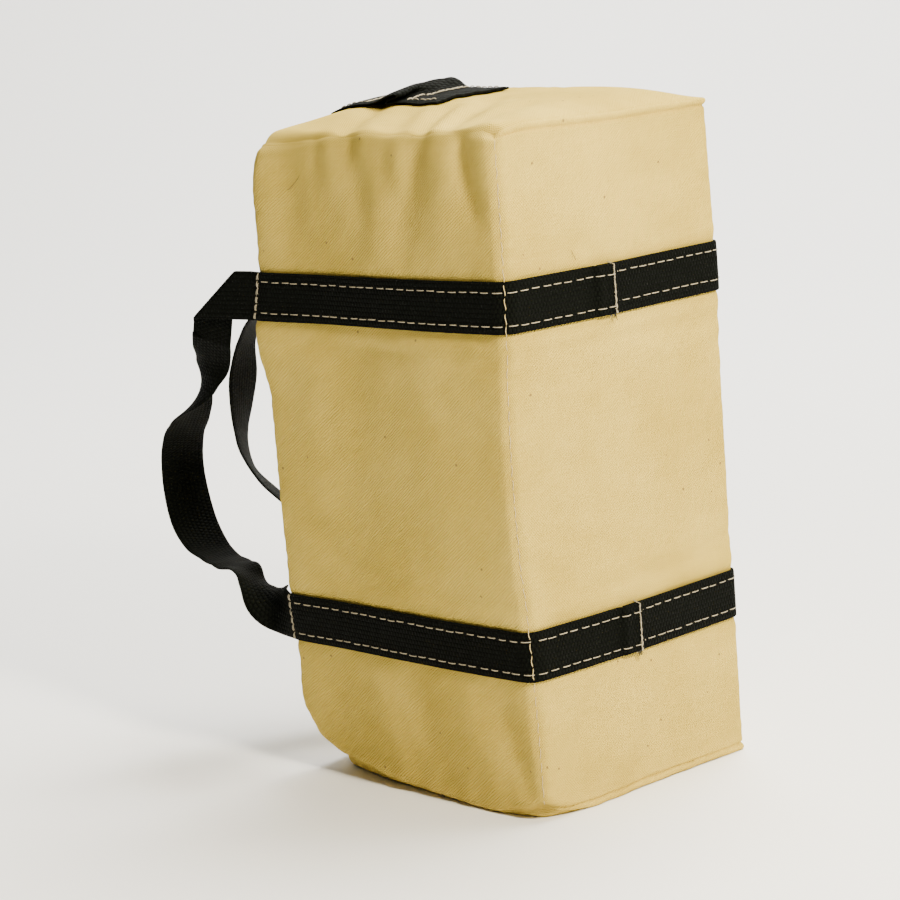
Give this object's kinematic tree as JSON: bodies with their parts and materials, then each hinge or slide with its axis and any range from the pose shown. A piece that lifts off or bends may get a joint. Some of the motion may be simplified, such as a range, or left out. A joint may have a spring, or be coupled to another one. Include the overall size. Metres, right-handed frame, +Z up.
{
  "type": "lighting sandbag",
  "caption": "Box-shaped canvas sandbag with a zipped liner of sand, two webbing carry handles and a webbing end handle.",
  "frame": {"origin": "middle of the lower end panel's underside, on the surface that the bag stands on", "axes": "+Z up along the bag's long side, +X out of the base panel (the zip panel and both carry handles are on -X), -Y out of the near side panel"},
  "size_m": [0.2817, 0.161, 0.3576],
  "materials": {
    "canvas": "undyed cotton duck, twill face, matt, with dark seed specks and long cream topstitching",
    "webbing": "black heavy woven webbing, matt with a faint sheen on the ribs",
    "zip_tape": "black woven polyester tape",
    "zip_teeth": "black moulded nylon",
    "zip_metal": "black enamelled zinc, satin, worn on the edges",
    "liner_film": "natural polythene film",
    "liner_tie": "black nylon tie",
    "sand": "dry washed sand"
  },
  "bodies": {
    "bag": {"near_side_panel": "canvas", "far_side_panel": "canvas", "base_panel": "canvas", "near_zip_panel": "canvas", "far_zip_panel": "canvas", "upper_end_panel": "canvas", "lower_end_panel": "canvas", "near_strap_upper": "webbing", "near_strap_lower": "webbing", "far_strap_upper": "webbing", "far_strap_lower": "webbing", "end_handle_front_tab": "webbing", "end_handle_rear_tab": "webbing", "near_zip_tape": "zip_tape", "far_zip_tape": "zip_tape", "near_zip_teeth": "zip_teeth", "far_zip_teeth": "zip_teeth", "zip_bottom_stop": "zip_metal", "zip_top_stop": "zip_metal", "liner_bag": "liner_film", "liner_tie": "liner_tie", "sand_fill": "sand"},
    "near_carry_handle": {"near_handle": "webbing"},
    "far_carry_handle": {"far_handle": "webbing"},
    "end_handle_loop": {"end_handle": "webbing"},
    "slider": {"zip_slider": "zip_metal"},
    "pull": {"zip_pull": "zip_metal"}
  },
  "joints": [
    {"name": "near_handle_swing", "type": "hinge", "parent": "bag", "child": "near_carry_handle", "pos_m": [-0.089, -0.0738, 0.1685], "axis": [0, 0, 1], "range_deg": [-5, 140]},
    {"name": "far_handle_swing", "type": "hinge", "parent": "bag", "child": "far_carry_handle", "pos_m": [-0.089, 0.0738, 0.1685], "axis": [0, 0, 1], "range_deg": [-190, 15]},
    {"name": "end_handle_lift", "type": "slide", "parent": "bag", "child": "end_handle_loop", "axis": [0, 0, 1], "range_m": [0, 0.012]},
    {"name": "zip_run", "type": "slide", "parent": "bag", "child": "slider", "axis": [0, 0, 1], "range_m": [0, 0.27]},
    {"name": "pull_swing", "type": "hinge", "parent": "slider", "child": "pull", "pos_m": [-0.0897, 0, 0.0331], "axis": [0, 1, 0], "range_deg": [0, 150]}
  ]
}
